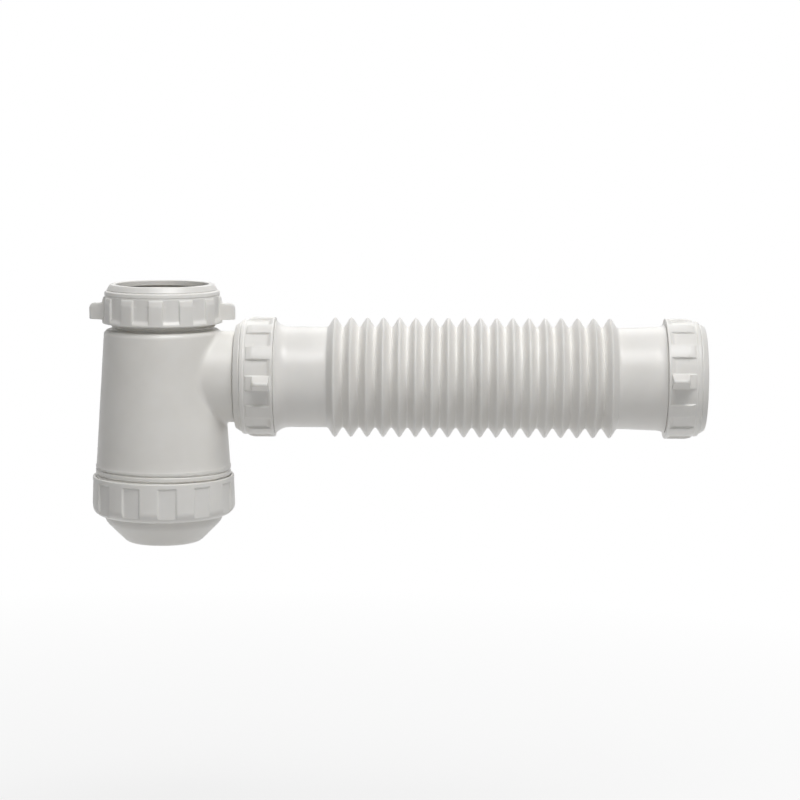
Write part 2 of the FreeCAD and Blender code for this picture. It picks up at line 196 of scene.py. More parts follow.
# Ends of the pipe. towards is the direction along X from an end's mouth to the folds.
COLLAR_GAP = 0.06
FLARE_BEND = 2.2
PipeEnd = namedtuple("PipeEnd", "towards mouth_x nut_face_x collar_x collar_r flare pipe_r folds_x")
NEAR_END = PipeEnd(
    towards=1,
    mouth_x=low("flexible_pipe")[0],
    nut_face_x=COUPLING_FACE_X,
    collar_x=COUPLING_FACE_X + NUT_LENGTH + COLLAR_GAP,
    collar_r=25.6,
    flare=6.5,
    pipe_r=PIPE_R,
    folds_x=FOLDS_START_X,
)
FAR_END = PipeEnd(
    towards=-1,
    mouth_x=high("flexible_pipe")[0],
    nut_face_x=OUTLET_FACE_X,
    collar_x=OUTLET_FACE_X - NUT_LENGTH - COLLAR_GAP,
    collar_r=24.4,
    flare=4.5,
    pipe_r=23.3,
    folds_x=FOLDS_END_X,
)

# Base nut
BASE_NUT_R = 32.4
BASE_NUT_RIM_R = 31.9
BASE_NUT_BORE_R = 30.6
BASE_NUT_HOLE_R = 27.0
BASE_NUT_END_WALL = 5.3
BASE_NUT_ROUND = 5.0
BASE_NUT_ARC_STEP = math.radians(6)
BASE_NUT_THREAD_START = 4.6
BASE_RECESS_R = 31.4
BASE_RECESS_MARGIN = 2.2
BASE_RECESS_WIDTH = 14.5
BASE_RECESS_TURN = 9.0
BASE_RECESS_END_SOFTNESS = 0.4
BASE_RECESS_END_STEPS = (-0.5, -0.25, 0, 0.25, 0.5)
BASE_RECESS_EDGE_STEPS = (-2.05, -1.05, -0.45, 0, 0.45, 1.05, 2.35, 5.25)

# Cup
CUP_R = 26.8
CUP_WALL = 2.2
FLANGE_R = 30.3
FLANGE_THICKNESS = 2.0
CUP_FLAT_R = 15.0
CUP_UPPER_ROUND = 6.0
CUP_LOWER_ROUND = 4.0
CUP_SLOPE = math.radians(45)

# Tube, slip rings, seals and gasket
TUBE_R = 18.5
TUBE_WALL = 1.8
TUBE_HEAD_R = SOCKET_R - 0.05
TUBE_HEAD_LENGTH = 9.0
TUBE_CONE_LENGTH = 5.0
RING_R = NUT_BORE_R - 0.3
RING_HOLE_R = 20.3
RING_THICKNESS = 1.5
SEAL_HOLE_R = 20.25
SEAL_FLANGE_R = 22.65
SEAL_FLANGE_THICKNESS = 0.9
SEAL_CONE_R = 22.1
SEAL_CONE_START = 1.3
SEAL_TIP_R = 20.65
SEAL_LENGTH = 4.5
GASKET_R = 30.3
GASKET_HOLE_R = 27.9

# Fineness of the meshes
ROUND_COLUMNS = 144
ARC_STEP = math.radians(15)
SHARP_ANGLE = math.radians(55)
LONGEST_ROW = 1.6

# Colours, the palest and the deepest of each material
WHITE = ((0.86, 0.845, 0.81), (0.80, 0.782, 0.745))
NUT_WHITE = ((0.86, 0.847, 0.817), (0.80, 0.785, 0.755))
PIPE_WHITE = ((0.855, 0.84, 0.81), (0.80, 0.783, 0.752))
RING_WHITE = ((0.78, 0.76, 0.70), (0.70, 0.68, 0.62))
RUBBER_BLACK = ((0.05, 0.05, 0.052), (0.018, 0.018, 0.019))

# Floor, world and lamps, in metres
FLOOR_SIDE = 60.0
FLOOR_Z = -0.25
FLOOR_FADE = (0.1, 0.7)
FLOOR_GLOW = 0.72
WORLD_LEVEL = 0.05
WORLD_COLOUR = (1, 0.985, 0.96, 1)
LAMP_AIM = (0.1, 0, -0.03)

# Camera, in metres and degrees
CAMERA_TARGET = (0.1072, 0, -0.0295)
CAMERA_DISTANCE = 1.10
CAMERA_AZIMUTH = 1.0
CAMERA_ELEVATION = 7.1
CAMERA_ROLL = 0.2
CAMERA_LENS = 109.6


def rounded(corners, closed=True, arc_step=ARC_STEP):
    """Points of an outline with its corners rounded off."""
    points = []
    count = len(corners)
    for i, (radius, height, rounding) in enumerate(corners):
        here = np.array((radius, height), float)
        at_end = not closed and i in (0, count - 1)
        if at_end or rounding == 0:
            points.append(here)
            continue
        before = np.array(corners[i - 1][:2]) - here
        after = np.array(corners[(i + 1) % count][:2]) - here
        before /= np.linalg.norm(before)
        after /= np.linalg.norm(after)
        half = math.acos(np.clip(before @ after, -1, 1)) / 2
        reach = rounding / math.tan(half)
        middle = (before + after) / np.linalg.norm(before + after)
        centre = here + middle * rounding / math.sin(half)
        start = here + before * reach - centre
        end = here + after * reach - centre
        turn = math.pi - 2 * half
        steps = max(2, math.ceil(turn / arc_step))
        for k in range(steps + 1):
            share = k / steps
            spin = start * math.sin((1 - share) * turn) + end * math.sin(share * turn)
            points.append(centre + spin / math.sin(turn))
    return points


def divided(points, closed=True, longest=LONGEST_ROW):
    """The same outline with its long straight runs divided."""
    rows = []
    pairs = list(zip(points, points[1:]))
    if closed:
        pairs.append((points[-1], points[0]))
    for a, b in pairs:
        steps = max(1, math.ceil(np.linalg.norm(b - a) / longest))
        rows += [a + (b - a) * k / steps for k in range(steps)]
    if not closed:
        rows.append(points[-1])
    return np.array(rows)


def joined(*parts):
    """One array of (radius, place) rows from the parts of an outline, and the slice of each part in it."""
    rows = np.array([tuple(point) for part in parts for point in part])
    ends = np.cumsum([len(part) for part in parts])
    return rows, [slice(end - len(part), end) for part, end in zip(parts, ends)]


def even_angles():
    """Angles evenly spaced round a full turn, in radians."""
    return np.linspace(-math.pi, math.pi, ROUND_COLUMNS, endpoint=False)


def upright(height):
    """Puts a form made round Z, with its end face at height 0, at this height."""
    return lambda points: points + np.array((0, 0, height))


def laid(x, outward):
    """Lays a form made round Z along the pipe, with its end face at x and facing +X or -X."""
    def place(points):
        across, side, along = points[..., 0], points[..., 1], points[..., 2]
        return np.stack([x + outward * along, side, PIPE_Z - outward * across], -1)
    return place


def round_grid(radii, heights, angles):
    """Points round Z. Heights are given for each row, and radii for each row or for each row and column."""
    radii = np.asarray(radii)
    if radii.ndim == 1:
        radii = np.repeat(radii[:, None], len(angles), 1)
    heights = np.repeat(np.asarray(heights)[:, None], len(angles), 1)
    return np.stack([radii * np.cos(angles), radii * np.sin(angles), heights], -1)


def spun(grid, degrees):
    """The same points turned round Z."""
    spin = math.radians(degrees)
    across = grid[..., 0] * math.cos(spin) - grid[..., 1] * math.sin(spin)
    side = grid[..., 0] * math.sin(spin) + grid[..., 1] * math.cos(spin)
    return np.stack([across, side, grid[..., 2]], -1)


def ring_faces(rings):
    """Faces between rings of vertex numbers that run round."""
    faces = []
    for a, b in zip(rings, rings[1:]):
        a2, b2 = np.roll(a, -1), np.roll(b, -1)
        faces += np.stack([a, a2, b2, b], -1).tolist()
    return faces


def make_object(name, points, faces):
    """A smooth mesh object from points in millimetres. Points that no face uses are dropped."""
    used = np.unique(np.concatenate([np.array(f) for f in faces]))
    renumber = np.full(len(points), -1)
    renumber[used] = np.arange(len(used))
    mesh = bpy.data.meshes.new(name)
    kept = [list(dict.fromkeys(renumber[f].tolist())) for f in faces]
    mesh.from_pydata((points[used] * MM).tolist(), [], kept)
    shape = bmesh.new()
    shape.from_mesh(mesh)
    bmesh.ops.recalc_face_normals(shape, faces=shape.faces)
    shape.to_mesh(mesh)
    shape.free()
    mesh.shade_smooth()
    mesh.set_sharp_from_angle(angle=SHARP_ANGLE)
    thing = bpy.data.objects.new(name, mesh)
    bpy.context.scene.collection.objects.link(thing)
    even = thing.modifiers.new("even_shading", "WEIGHTED_NORMAL")
    even.keep_sharp = True
    return thing


def grid_object(name, grid, closed=True):
    """A mesh from rows of points that run round. An open one ends in one point where its radius is 0."""
    rows, columns = grid.shape[:2]
    numbers = np.arange(rows * columns).reshape(rows, columns)
    for i in (0, rows - 1):
        if not closed and np.ptp(grid[i], axis=0).max() < 1e-9:
            numbers[i] = numbers[i, 0]
    rings = list(numbers)
    if closed:
        rings.append(numbers[0])
    return make_object(name, grid.reshape(-1, 3), ring_faces(rings))


def lathe(name, outline, place=None, longest=LONGEST_ROW):
    """A piece of revolution from its closed half outline."""
    rows = divided(rounded(outline), longest=longest)
    grid = round_grid(rows[:, 0], rows[:, 1], even_angles())
    return grid_object(name, place(grid) if place else grid)


def ridge(turns):
    """Height of a thread's ridge, from 0 in the groove to 1 on the crest, at this many turns along it."""
    return np.clip(0.5 + RIDGE_STEEPNESS * np.cos(2 * math.pi * turns), 0, 1)


def narrow_groove(turns):
    """Height of the base thread, from 0 in its narrow groove to 1 on its wide crest."""
    return np.clip(GROOVE_STEEPNESS * (1 + np.cos(2 * math.pi * turns)), 0, 1)


def base_turns(heights, angles):
    """Turns along the thread between the bottle and the base nut."""
    rise = (heights[:, None] - BASE_THREAD_TOP_Z + BASE_THREAD_SHIFT) / BASE_THREAD_PITCH
    return rise + angles / (2 * math.pi)


def run_in(heights, start, end, length):
    """Share of its full height that a thread has along its run, rising at both ends."""
    inside = np.minimum(heights - min(start, end), max(start, end) - heights)
    return np.clip(inside / length, 0, 1)[:, None]


def soft_step(value):
    """A smooth step from 0 to 1."""
    share = np.clip(value, 0, 1)
    return share * share * (3 - 2 * share)


def soft_inside(depth, softness):
    """From 0 outside a form to 1 inside it, at this depth past its edge."""
    return soft_step(depth / (2 * softness) + 0.5)


def dress(piece, node):
    """Lets a piece stand for a node of the frame and ride on its body."""
    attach(piece, BODY_OF[node])
    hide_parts(node)


def nut_angles():
    """Angles round a nut, close together at the edges of its recesses and at its wings."""
    degrees = []
    edge_steps = np.array(RECESS_EDGE_STEPS) * RECESS_SOFTNESS
    for k in range(RECESS_COUNT):
        centre, land = (k + 0.5) * RECESS_STEP, k * RECESS_STEP
        for side in (-1, 1):
            degrees += list(centre + side * RECESS_WIDTH / 2 + edge_steps)
        degrees += [centre + step for step in FILL_STEPS]
        if land % 180:
            degrees += [land + step for step in FILL_STEPS]
    across = [place for place, _ in WING_TIP + WING_ROOT] + list(WING_FILL)
    for side in (0, 180):
        degrees.append(side)
        for place in across:
            turn = math.degrees(math.asin(place / NUT_R))
            degrees += [side - turn, side + turn]
    return np.radians(sorted(d % 360 for d in degrees))


def recess_round(angles):
    """How deep into a nut's recess each angle lies, from 0 on the land to 1 in the recess."""
    step = math.radians(RECESS_STEP)
    off = np.abs(angles % step - step / 2)
    return soft_inside(math.radians(RECESS_WIDTH / 2) - off, math.radians(RECESS_SOFTNESS))


def wing_places(rim):
    """Heights on a nut at which the outline of its wings bends, from its rim upwards."""
    start = rim + WING_RIM_MARGIN
    end = start + WING_WIDTH
    corner = end - WING_CORNER_R + WING_CORNER_R * np.cos(WING_CORNER_TURNS)
    rim_side = [start + step for step, _ in WING_RIM_EDGE]
    far_side = [end + step for step, _ in WING_FAR_EDGE]
    return rim_side + list(corner) + far_side


def wing_along(heights, rim):
    """Reach of a wing along its nut: a steep edge near the rim and a rounded corner at the other end."""
    corner = WING_LENGTH - WING_CORNER_R + WING_CORNER_R * np.sin(WING_CORNER_TURNS)
    reach = [r for _, r in WING_RIM_EDGE] + list(corner) + [r for _, r in WING_FAR_EDGE]
    return np.interp(heights, wing_places(rim), reach)


def wing_across(offsets):
    """Share of its reach that a wing has across its thickness. It narrows to a rounded tip."""
    places, reach = zip(*WING_TIP, *WING_ROOT)
    return np.interp(np.abs(offsets), places, reach) / WING_LENGTH


def nut_barrel_rows(rim):
    """Heights of the rows on a nut's barrel, close together where a form begins or ends."""
    rows = {-RIB_TOP - step for step in RIB_TOP_STEPS} | {-RIB_TAPER, rim + 0.9}
    rows |= {rim + RECESS_RIM_MARGIN + step * RECESS_RIM_SOFTNESS for step in RECESS_RIM_STEPS}
    rows |= set(wing_places(rim))
    points = [np.array((NUT_R, height)) for height in sorted(rows, reverse=True)]
    return divided(points, closed=False, longest=NUT_ROW)[:, 1]


def nut_barrel(heights):
    """Rows of a nut's barrel, which widens in steps below the top of its ribs."""
    depths = (RIB_TOP, RIB_TOP + 0.2, RIB_TOP + 0.5, RIB_TAPER, RIB_TAPER + 0.8)
    radii = (NUT_SHOULDER_R, RIB_CORNER_R - 0.25, RIB_CORNER_R, NUT_R - 0.08, NUT_R)
    return list(zip(np.interp(-heights, depths, radii), heights))


def nut_end():
    """Rows of a nut's end face, lip and bead, from its hole out to its ribs."""
    return rounded([
        (NUT_HOLE_R, -1.2, 0),
        (NUT_HOLE_R, 0, 0.4),
        (NUT_FACE_R, 0, 0.7),
        (NUT_LIP_R, -NUT_LIP_DEPTH + 0.3, 0.3),
        (NUT_LIP_R - 0.1, -NUT_LIP_DEPTH, 0.1),
        (NUT_BEAD_R - 0.25, -NUT_LIP_DEPTH - 0.45, 0.5),
        (NUT_BEAD_R, -NUT_BEAD_DEPTH, 0.6),
        (NUT_SHOULDER_R - 0.2, -RIB_TOP + 0.55, 0.3),
        (NUT_SHOULDER_R, -RIB_TOP + 0.2, 0),
    ], closed=False)


def nut_rim(rim):
    """Rows round a nut's rim, from its barrel into its bore."""
    return rounded([
        (NUT_R, rim + 0.6, 0),
        (NUT_R, rim, 0.3),
        (NUT_BORE_R, rim, 0.3),
        (NUT_BORE_R, rim + 0.6, 0),
    ], closed=False)


def nut_inside():
    """Rows inside a nut, from its thread over the end wall into the hole."""
    return rounded([
        (NUT_BORE_R, -NUT_THREAD_TOP + 0.4, 0),
        (NUT_BORE_R, -NUT_END_WALL, 0.3),
        (NUT_HOLE_R, -NUT_END_WALL, 0.3),
        (NUT_HOLE_R, -1.6, 0),
    ], closed=False)


def compression_nut(name, place, turn, length=NUT_LENGTH, lift=0.0):
    """A ribbed nut with two wings. Its thread stays in step when the nut is placed higher by lift."""
    rim = -length
    angles = nut_angles()
    heights = nut_barrel_rows(rim)
    bore = np.arange(rim + THREAD_MARGIN, -NUT_THREAD_TOP, THREAD_ROW)
    bore_rows = [(NUT_BORE_R, height) for height in bore]
    rows, slices = joined(nut_end(), nut_barrel(heights), nut_rim(rim), bore_rows, nut_inside())
    barrel, threaded = slices[1], slices[3]
    radii = np.repeat(rows[:, :1], len(angles), 1)

    along = soft_inside(heights - rim - RECESS_RIM_MARGIN, RECESS_RIM_SOFTNESS)
    depth = np.maximum(radii[barrel] - RECESS_FLOOR_R, 0)
    radii[barrel] -= along[:, None] * recess_round(angles) * depth
    turns = (bore[:, None] + lift) / THREAD_PITCH - angles / (2 * math.pi) + 0.5
    rise = run_in(bore, rim + THREAD_MARGIN, -NUT_THREAD_TOP, 1.2)
    radii[threaded] -= (THREAD_DEPTH - THREAD_PLAY) * ridge(turns) * rise

    grid = round_grid(radii, rows[:, 1], angles)
    reach = wing_along(heights, rim)[:, None] * wing_across(grid[barrel, :, 1])
    grid[barrel, :, 0] += reach * np.sign(grid[barrel, :, 0])
    return grid_object(name, place(spun(grid, turn)))


def wall_r(z):
    """Radius of the bottle's outside at height z, its rounded shoulder edge included."""
    top = SHOULDER_Z - BOTTLE_EDGE_R
    taper = BOTTLE_TOP_R + (top - z) * (BOTTLE_BASE_R - BOTTLE_TOP_R) / (top - BASE_THREAD_TOP_Z)
    lift = np.clip(z - top, 0, BOTTLE_EDGE_R)
    edge = BOTTLE_TOP_R - BOTTLE_EDGE_R + np.sqrt(BOTTLE_EDGE_R ** 2 - lift ** 2)
    return np.where(z > top, edge, taper)


def inner_wall_r(z):
    """Radius of the bottle's inside at height z."""
    roof = SHOULDER_Z - BOTTLE_WALL
    top_r, base_r = BOTTLE_TOP_R - BOTTLE_WALL, BASE_THREAD_R - BOTTLE_WALL
    return top_r + (roof - z) * (base_r - top_r) / (roof - BASE_RIM_Z)


def outside_rows():
    """Parts of the bottle's outside from the neck down: neck, shoulder, edge, block, wall and base."""
    neck = [(THREAD_R, z) for z in np.arange(MOUTH_Z - THREAD_MARGIN, SHOULDER_Z + 0.9, -THREAD_ROW)]
    shoulder = rounded([
        (NECK_ROOT_R, SHOULDER_Z + 0.7, 0),
        (NECK_ROOT_R, SHOULDER_Z, 0.3),
        (BOTTLE_TOP_R - BOTTLE_EDGE_R, SHOULDER_Z, 0),
    ], closed=False)
    edge_z = SHOULDER_Z - np.array((0.01, 0.05, 0.1))
    block_end = PIPE_Z - OUTER_BLOCK_DROP
    block_z = np.linspace(SHOULDER_Z - 0.16, block_end, BLOCK_ROWS + 1)
    wall_z = np.linspace(block_end - 1.5, BASE_THREAD_TOP_Z + 0.6, 9)
    edge, block, wall = ([(wall_r(z), z) for z in heights] for heights in (edge_z, block_z, wall_z))
    base_z = np.arange(BASE_THREAD_TOP_Z + 0.15, BASE_RIM_Z + 0.9, -THREAD_ROW)
    return neck, shoulder, edge, block, wall, [(BASE_THREAD_R, z) for z in base_z]


def base_rim_rows():
    """Rows round the bottle's lower rim."""
    return rounded([
        (BASE_ROOT_R, BASE_RIM_Z + 0.7, 0),
        (BASE_ROOT_R, BASE_RIM_Z, 0.3),
        (inner_wall_r(BASE_RIM_Z), BASE_RIM_Z, 0.3),
        (inner_wall_r(BASE_RIM_Z + 1), BASE_RIM_Z + 1, 0),
    ], closed=False)


def neck_inside_rows():
    """Rows from the roof of the bottle round the skirt and the stop, and up to the mouth of the neck."""
    roof = SHOULDER_Z - BOTTLE_WALL
    return divided(rounded([
        (inner_wall_r(roof), roof, 0),
        (SKIRT_R, roof, 0.25),
        (SKIRT_R, SKIRT_END_Z, 0.3),
        (SOCKET_R, SKIRT_END_Z, 0.3),
        (SOCKET_R, -STOP_THICKNESS, 0.2),
        (STOP_R, -STOP_THICKNESS, 0.3),
        (STOP_R, 0, 0.3),
        (SOCKET_R, 0, 0.2),
        (SOCKET_R, MOUTH_Z - MOUTH_DEPTH, 0.5),
        (MOUTH_R, MOUTH_Z, 0.3),
        (LIP_R, MOUTH_Z, 0.4),
        (LIP_R, MOUTH_Z - LIP_LENGTH, 0),
    ], closed=False), closed=False)


def bottle_rows():
    """The bottle's half outline as rows, and the slices of its neck, outer block, base and inner block."""
    block_start = PIPE_Z - INNER_BLOCK_DROP
    wall_z = np.linspace(BASE_RIM_Z + 3, block_start - 2, 10)
    block_z = np.linspace(block_start, SHOULDER_Z - BOTTLE_WALL - 0.6, BLOCK_ROWS + 1)
    wall, block = ([(inner_wall_r(z), z) for z in heights] for heights in (wall_z, block_z))
    rows, slices = joined(*outside_rows(), base_rim_rows(), wall, block, neck_inside_rows())
    return rows, slices[0], slices[3], slices[5], slices[8]


def block_loop(rows, columns):
    """Row and column of the grid points round a block, from its top left corner. Rows run downwards."""
    top, bottom = rows[0], rows[-1]
    left, right = columns[0], columns[-1]
    loop = [(top, c) for c in columns[:-1]] + [(r, right) for r in rows[:-1]]
    return loop + [(bottom, c) for c in columns[:0:-1]] + [(r, left) for r in rows[:0:-1]]


def on_wall(flat, radius_at):
    """Points of the wall at these (y, z), on the side of the boss."""
    y, z = flat[..., 0], flat[..., 1]
    return np.stack([np.sqrt(radius_at(z) ** 2 - y ** 2), y, z], -1)


def boss_ring(radius, x, spokes):
    """A ring round the boss's axis, at one radius and x for all its points or for each."""
    radius = np.broadcast_to(radius, len(spokes))
    x = np.broadcast_to(x, len(spokes))
    return np.stack([x, radius * np.cos(spokes), PIPE_Z + radius * np.sin(spokes)], -1)


def root_rings(flat_edge, spokes):
    """Rings on the outer wall from its block's edge inwards, and of the rounding where the boss begins."""
    upward = np.maximum(np.sin(spokes), 0.05)
    blend = np.minimum(BOSS_BLEND, BOSS_TOP_LIMIT / upward - BOSS_R)
    flat_start = boss_ring(BOSS_R + blend, 0, spokes)[:, 1:]
    shares = (0.16, 0.34, 0.52, 0.7, 0.84, 0.94)
    rings = [on_wall(flat_edge + (flat_start - flat_edge) * share, wall_r) for share in shares]
    start = on_wall(flat_start, wall_r)
    corner = on_wall(boss_ring(BOSS_R, 0, spokes)[:, 1:], wall_r)
    finish = corner + np.stack([blend, 0 * blend, 0 * blend], -1)
    for t in np.linspace(0, 1, 8):
        rings.append(start * (1 - t) ** 2 + corner * 2 * t * (1 - t) + finish * t * t)
    return rings


def spigot_rings(start_x, spokes):
    """Rings along the boss from start_x, along the spigot and into its bore."""
    boss_end = BOSS_END_X - 0.5
    shares = (0.2, 0.4, 0.6, 0.8)
    rings = [boss_ring(BOSS_R, start_x + (boss_end - start_x) * share, spokes) for share in shares]
    outline = rounded([
        (BOSS_R, boss_end, 0),
        (BOSS_R, BOSS_END_X, 0.25),
        (SPIGOT_R, BOSS_END_X, 0.2),
        (SPIGOT_R, SPIGOT_END_X, 0.6),
        (SPIGOT_BORE_R, SPIGOT_END_X, 0.5),
        (SPIGOT_BORE_R, BOSS_END_X, 0),
    ], closed=False)
    return rings + [boss_ring(r, x, spokes) for r, x in divided(outline, closed=False, longest=2.5)]


def bore_rings(flat_edge, spokes):
    """Rings along the bore to the inner wall, and on that wall out to the edge of its block."""
    hole = on_wall(boss_ring(SPIGOT_BORE_R, 0, spokes)[:, 1:], inner_wall_r)
    flat_hole = hole[:, 1:]
    rings = []
    for share in (0.3, 0.6, 0.9, 1.0):
        rings.append(boss_ring(SPIGOT_BORE_R, BOSS_END_X + (hole[:, 0] - BOSS_END_X) * share, spokes))
    for share in (0.08, 0.25, 0.5, 0.75):
        rings.append(on_wall(flat_hole + (flat_edge - flat_hole) * share, inner_wall_r))
    return rings


def boss_rings(outer_edge, inner_edge):
    """Rings from the block in the outer wall along the boss and the spigot, and back to the inner wall."""
    spokes = np.arctan2(outer_edge[:, 2] - PIPE_Z, outer_edge[:, 1])
    root = root_rings(outer_edge[:, 1:], spokes)
    return np.array(root + spigot_rings(root[-1][:, 0], spokes) + bore_rings(inner_edge[:, 1:], spokes))


def bottle_grid(rows, neck, base):
    """Points of the bottle's wall, with the ridges of its two threads."""
    angles = even_angles()
    heights = rows[:, 1]
    radii = np.repeat(rows[:, :1], len(angles), 1)
    turns = (heights[neck, None] - INLET_FACE_Z) / THREAD_PITCH - angles / (2 * math.pi)
    rise = run_in(heights[neck], SHOULDER_Z + 0.4, MOUTH_Z - 0.4, 1.0)
    radii[neck] -= THREAD_DEPTH * (1 - ridge(turns) * rise)
    rise = run_in(heights[base], BASE_RIM_Z, BASE_THREAD_TOP_Z + 0.5, 0.6)
    radii[base] -= BASE_THREAD_DEPTH * (1 - narrow_groove(base_turns(heights[base], angles))) * rise
    return round_grid(radii, heights, angles)


def bottle(name):
    """The bottle with its neck thread, base thread, side boss and spigot, as one closed mesh."""
    rows, neck, outer, base, inner = bottle_rows()
    grid = bottle_grid(rows, neck, base)
    numbers = np.arange(len(rows) * ROUND_COLUMNS).reshape(len(rows), ROUND_COLUMNS)
    first = (ROUND_COLUMNS - BLOCK_COLUMNS) // 2
    columns = list(range(first, first + BLOCK_COLUMNS + 1))
    opened = {
        i * ROUND_COLUMNS + j
        for block in (outer, inner)
        for i in range(block.start, block.stop - 1)
        for j in columns[:-1]
    }
    wall = ring_faces(list(numbers) + [numbers[0]])
    faces = [face for k, face in enumerate(wall) if k not in opened]

    outer_loop = block_loop(list(range(outer.start, outer.stop)), columns)
    inner_loop = block_loop(list(range(inner.start, inner.stop))[::-1], columns)
    outer_edge, inner_edge = (np.array([grid[p] for p in loop]) for loop in (outer_loop, inner_loop))
    rings = boss_rings(outer_edge, inner_edge)
    ring_numbers = numbers.size + np.arange(rings.shape[0] * rings.shape[1]).reshape(rings.shape[:2])
    path = [np.array([numbers[p] for p in outer_loop])]
    path += list(ring_numbers) + [np.array([numbers[p] for p in inner_loop])]
    points = np.concatenate([grid.reshape(-1, 3), rings.reshape(-1, 3)])
    return make_object(name, points, faces + ring_faces(path))


def fold_r(x):
    """Radius of the pipe's folds at x, a rounded zigzag."""
    wave = -np.cos(2 * math.pi * (x - FOLDS_START_X) / FOLD_PITCH)
    zigzag = np.arcsin(FOLD_SHARPNESS * wave) / math.asin(FOLD_SHARPNESS)
    middle = (FOLD_CREST_R + PIPE_R) / 2
    return middle + (FOLD_CREST_R - middle) * zigzag


def flare_r(x, end):
    """Radius at x of the hollow flare from an end's collar down to its plain pipe."""
    share = np.clip((x - end.collar_x) * end.towards / end.flare, 0, 1)
    return end.pipe_r + (end.collar_r - end.pipe_r) * (1 - share) ** FLARE_BEND


def pipe_end_rows(end):
    """Outside of one end of the pipe as rows: its lip, thread, collar edge, flare and plain part."""
    mouth, collar, towards = end.mouth_x, end.collar_x, end.towards
    flare_end = collar + towards * end.flare
    lip = rounded([
        (MOUTH_R, mouth, 0.3),
        (LIP_R, mouth, 0.4),
        (LIP_R, mouth + towards * LIP_LENGTH, 0),
    ], closed=False)[1:]
    thread_x = np.arange(mouth + towards * THREAD_MARGIN, collar - towards * 0.6, towards * THREAD_ROW)
    edge = rounded([
        (THREAD_R - 0.6, collar - towards * 0.3, 0),
        (THREAD_R - 0.6, collar, 0.2),
        (end.collar_r, collar, 0.2),
        (end.collar_r - 0.3, collar + towards * 0.5, 0),
    ], closed=False)
    flare = [(flare_r(x, end), x) for x in np.linspace(collar + towards * 0.7, flare_end, 12)]
    plain_x = np.linspace(flare_end + towards, end.folds_x - towards, 10)
    taper = np.abs(plain_x - end.folds_x) / abs(flare_end - end.folds_x)
    plain = [(PIPE_R + (end.pipe_r - PIPE_R) * share, x) for x, share in zip(plain_x, taper)]
    return lip, [(THREAD_R, x) for x in thread_x], edge, flare, plain


def socket_rows(end):
    """Inside of one end of the pipe, from its plain part out to its mouth."""
    mouth, towards = end.mouth_x, end.towards
    stop = mouth + towards * SOCKET_DEPTH
    outline = rounded([
        (PIPE_INNER_R, end.folds_x - towards, 0),
        (PIPE_INNER_R, stop, 0.4),
        (SOCKET_R, stop, 0.2),
        (SOCKET_R, mouth + towards * MOUTH_DEPTH, 0.5),
        (MOUTH_R, mouth, 0.3),
        (LIP_R, mouth, 0.4),
    ], closed=False)[:-1]
    return divided(outline, closed=False, longest=2.0)


def pipe_groove(xs, angles, end):
    """Depth of the thread below its crest at one end of the pipe, in step with its nut."""
    outward = -end.towards
    turn = angles if outward > 0 else math.pi - angles
    turns = (xs[:, None] - end.nut_face_x) * outward / THREAD_PITCH - turn / (2 * math.pi)
    rise = run_in(xs, end.mouth_x + 0.4 * end.towards, end.collar_x, 1.0)
    return THREAD_DEPTH * (1 - ridge(turns) * rise)


def half_pipe(name, end):
    """One half of the corrugated pipe, from its mouth to the split in the middle of the folds."""
    fold_steps = round(abs(SPLIT_X - end.folds_x) / FOLD_PITCH * FOLD_ROWS)
    folds_x = np.linspace(end.folds_x, SPLIT_X, fold_steps + 1)
    folds = [(fold_r(x), x) for x in folds_x]
    back = [(fold_r(x) - FOLD_INSET, x) for x in folds_x[::-1]]
    rows, slices = joined(*pipe_end_rows(end), folds, back, socket_rows(end))
    threaded = slices[1]
    angles = even_angles()
    radii = np.repeat(rows[:, :1], len(angles), 1)
    radii[threaded] -= pipe_groove(rows[threaded, 1], angles, end)
    return grid_object(name, laid(0, 1)(round_grid(radii, rows[:, 1], angles)))


def base_nut_angles():
    """Angles round the base nut, close together at the edges of its recesses."""
    half = [BASE_RECESS_WIDTH / 2 + step for step in BASE_RECESS_EDGE_STEPS]
    offsets = [-place for place in half] + list(FILL_STEPS) + half + [RECESS_STEP / 2]
    centres = [k * RECESS_STEP + BASE_RECESS_TURN for k in range(RECESS_COUNT)]
    degrees = {round((centre + offset) % 360, 4) for centre in centres for offset in offsets}
    return np.radians(sorted(degrees))


def base_nut_outside(barrel_start, recess_high):
    """Rows of the base nut's outside, from its hole round the lower edge and up its barrel."""
    lower = rounded([
        (BASE_NUT_HOLE_R, BASE_NUT_FACE_Z + 1.0, 0),
        (BASE_NUT_HOLE_R, BASE_NUT_FACE_Z, 0.3),
        (BASE_NUT_R, BASE_NUT_FACE_Z, BASE_NUT_ROUND),
        (BASE_NUT_R, barrel_start + 0.3, 0),
    ], closed=False, arc_step=BASE_NUT_ARC_STEP)
    heights = set(np.linspace(barrel_start + 0.6, BASE_NUT_RIM_Z - 0.8, 12))
    heights = np.array(sorted(heights | {recess_high + step for step in BASE_RECESS_END_STEPS}))
    slope = (BASE_NUT_RIM_R - BASE_NUT_R) / (BASE_NUT_RIM_Z - barrel_start)
    return lower + list(zip(BASE_NUT_R + (heights - barrel_start) * slope, heights))


